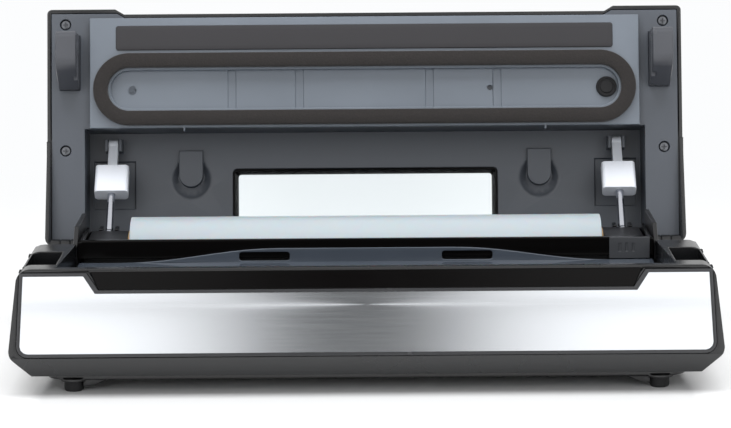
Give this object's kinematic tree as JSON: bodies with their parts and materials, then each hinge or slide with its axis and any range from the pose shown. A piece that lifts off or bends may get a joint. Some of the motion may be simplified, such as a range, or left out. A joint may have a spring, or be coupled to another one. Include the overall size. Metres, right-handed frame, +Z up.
{
  "type": "vacuum sealer",
  "caption": "Countertop vacuum sealer with a brushed front, its latching lid standing open over a bag roll, drip tray, sliding cutter and heating bar.",
  "frame": {"origin": "on the surface it stands on, under the middle of its width and depth with the lid open", "axes": "+X to the right along the sealing bar, +Y to the rear, +Z up"},
  "size_m": [0.4058, 0.2285, 0.2009],
  "materials": {
    "shell_plastic": "moulded black-grey ABS, fine texture",
    "liner_plastic": "moulded mid-grey ABS, satin",
    "plate_plastic": "moulded light-grey ABS, satin",
    "dark_plastic": "moulded dark ABS, satin",
    "gloss_black": "high-gloss black ABS",
    "bezel_grey": "grey painted plastic, satin gloss",
    "brushed_panel": "horizontally brushed stainless steel",
    "tray_plastic": "smoky blue-grey polycarbonate",
    "heater_ceramic": "silicone-bonded heater carrier",
    "steel": "bright zinc-plated steel",
    "screw_steel": "steel screws with a black phosphate coat",
    "heater_cloth": "brown PTFE-coated glass cloth",
    "rubber_dark": "black silicone rubber",
    "pad_rubber": "charcoal silicone rubber",
    "foam": "brown-black neoprene foam",
    "nylon_white": "natural white nylon",
    "bag_film": "translucent embossed polyethylene film",
    "cardboard": "wound cardboard",
    "hook_plastic": "moulded grey acetal",
    "window_clear": "clear polycarbonate",
    "board_green": "solder-masked circuit board",
    "coil_iron": "laminated iron and varnished winding",
    "hose_silicone": "milky silicone hose",
    "switch_red": "red phenolic",
    "lamp_green": "diffused green acrylic",
    "key_grey": "satin moulded keys"
  },
  "bodies": {
    "base": {"base_housing": "shell_plastic", "bottom_cover": "dark_plastic", "feet": "rubber_dark", "base_screws": "screw_steel", "front_bezel": "bezel_grey", "front_panel": "brushed_panel", "gloss_strip": "gloss_black", "sealing_deck": "dark_plastic", "roll_bay": "dark_plastic", "heater_bar": "heater_ceramic", "heater_element": "steel", "heater_tape": "heater_cloth", "hinge_pins": "steel", "power_inlet": "dark_plastic", "main_board": "board_green", "transformer": "coil_iron", "vacuum_pump": "dark_plastic", "pump_motor": "steel", "vacuum_hose": "hose_silicone", "pressure_switch": "dark_plastic", "lid_switches": "switch_red"},
    "lid": {"lid_shell": "shell_plastic", "lid_liner": "liner_plastic", "seal_plate": "plate_plastic", "window": "window_clear", "sealing_pad": "pad_rubber", "lid_gasket": "foam", "hook_left": "hook_plastic", "hook_right": "hook_plastic", "port_plug": "rubber_dark", "lid_screws": "screw_steel", "strut_pins": "steel", "control_panel": "gloss_black", "indicator_lens": "lamp_green", "lid_board": "board_green"},
    "tray": {"drip_tray": "tray_plastic"},
    "cutter_rail": {"cutter_rail": "gloss_black", "rail_pins": "steel"},
    "cutter_slider": {"cutter_slider": "key_grey", "cutter_blade": "steel"},
    "bag_roll": {"bag_roll": "bag_film", "roll_core": "cardboard"},
    "release_left": {"release_left": "key_grey"},
    "release_right": {"release_right": "key_grey"},
    "strut_body_left": {"strut_body_left": "nylon_white"},
    "strut_body_right": {"strut_body_right": "nylon_white"},
    "strut_rod_left": {"strut_rod_left": "steel"},
    "strut_rod_right": {"strut_rod_right": "steel"},
    "key_vacuum": {"key_vacuum": "key_grey"},
    "key_seal": {"key_seal": "key_grey"},
    "key_pulse": {"key_pulse": "key_grey"},
    "key_food": {"key_food": "key_grey"},
    "key_stop": {"key_stop": "key_grey"}
  },
  "joints": [
    {"name": "lid_hinge", "type": "hinge", "parent": "base", "child": "lid", "pos_m": [0, 0.04419, 0.0587], "axis": [-1, 0, 0], "range_deg": [-103, 0]},
    {"name": "tray_lift", "type": "slide", "parent": "base", "child": "tray", "axis": [0, 0, 1], "range_m": [0, 0.04]},
    {"name": "rail_lift", "type": "hinge", "parent": "base", "child": "cutter_rail", "pos_m": [0, 0.03049, 0.068], "axis": [-1, 0, 0], "range_deg": [0, 45]},
    {"name": "cutter_slide", "type": "slide", "parent": "cutter_rail", "child": "cutter_slider", "axis": [1, 0, 0], "range_m": [-0.3126, 0]},
    {"name": "roll_spin", "type": "hinge", "parent": "base", "child": "bag_roll", "pos_m": [0, 0.00849, 0.061], "axis": [1, 0, 0], "continuous": true},
    {"name": "release_left_lock", "type": "slide", "parent": "base", "child": "release_left", "axis": [-1, 0, 0], "range_m": [0, 0.0026]},
    {"name": "release_right_lock", "type": "slide", "parent": "base", "child": "release_right", "axis": [1, 0, 0], "range_m": [0, 0.0026]},
    {"name": "strut_left_swing", "type": "hinge", "parent": "lid", "child": "strut_body_left", "pos_m": [-0.1585, 0.09629, 0.1141], "axis": [-1, 0, 0], "range_deg": [-9.24, 0]},
    {"name": "strut_left_extend", "type": "slide", "parent": "strut_body_left", "child": "strut_rod_left", "axis": [0, -0.6973, -0.7167], "range_m": [0, 0.0088]},
    {"name": "strut_right_swing", "type": "hinge", "parent": "lid", "child": "strut_body_right", "pos_m": [0.1585, 0.09629, 0.1141], "axis": [-1, 0, 0], "range_deg": [-9.24, 0]},
    {"name": "strut_right_extend", "type": "slide", "parent": "strut_body_right", "child": "strut_rod_right", "axis": [0, -0.6973, -0.7167], "range_m": [0, 0.0088]},
    {"name": "key_vacuum_press", "type": "slide", "parent": "lid", "child": "key_vacuum", "axis": [0, -0.9999, -0.0133], "range_m": [0, 0.0008], "stiffness_N_per_m": 700, "springref_m": -0.0007},
    {"name": "key_seal_press", "type": "slide", "parent": "lid", "child": "key_seal", "axis": [0, -0.9999, -0.0133], "range_m": [0, 0.0008], "stiffness_N_per_m": 700, "springref_m": -0.0007},
    {"name": "key_pulse_press", "type": "slide", "parent": "lid", "child": "key_pulse", "axis": [0, -0.9999, -0.0133], "range_m": [0, 0.0008], "stiffness_N_per_m": 700, "springref_m": -0.0007},
    {"name": "key_food_press", "type": "slide", "parent": "lid", "child": "key_food", "axis": [0, -0.9999, -0.0133], "range_m": [0, 0.0008], "stiffness_N_per_m": 700, "springref_m": -0.0007},
    {"name": "key_stop_press", "type": "slide", "parent": "lid", "child": "key_stop", "axis": [0, -0.9999, -0.0133], "range_m": [0, 0.0008], "stiffness_N_per_m": 700, "springref_m": -0.0007}
  ],
  "couplings": [
    {"joint": "strut_left_swing", "follows": "lid_hinge", "ratio": 0.088},
    {"joint": "strut_left_extend", "follows": "lid_hinge", "m_per_rad": -0.0048},
    {"joint": "strut_right_swing", "follows": "lid_hinge", "ratio": 0.088},
    {"joint": "strut_right_extend", "follows": "lid_hinge", "m_per_rad": -0.0048}
  ]
}
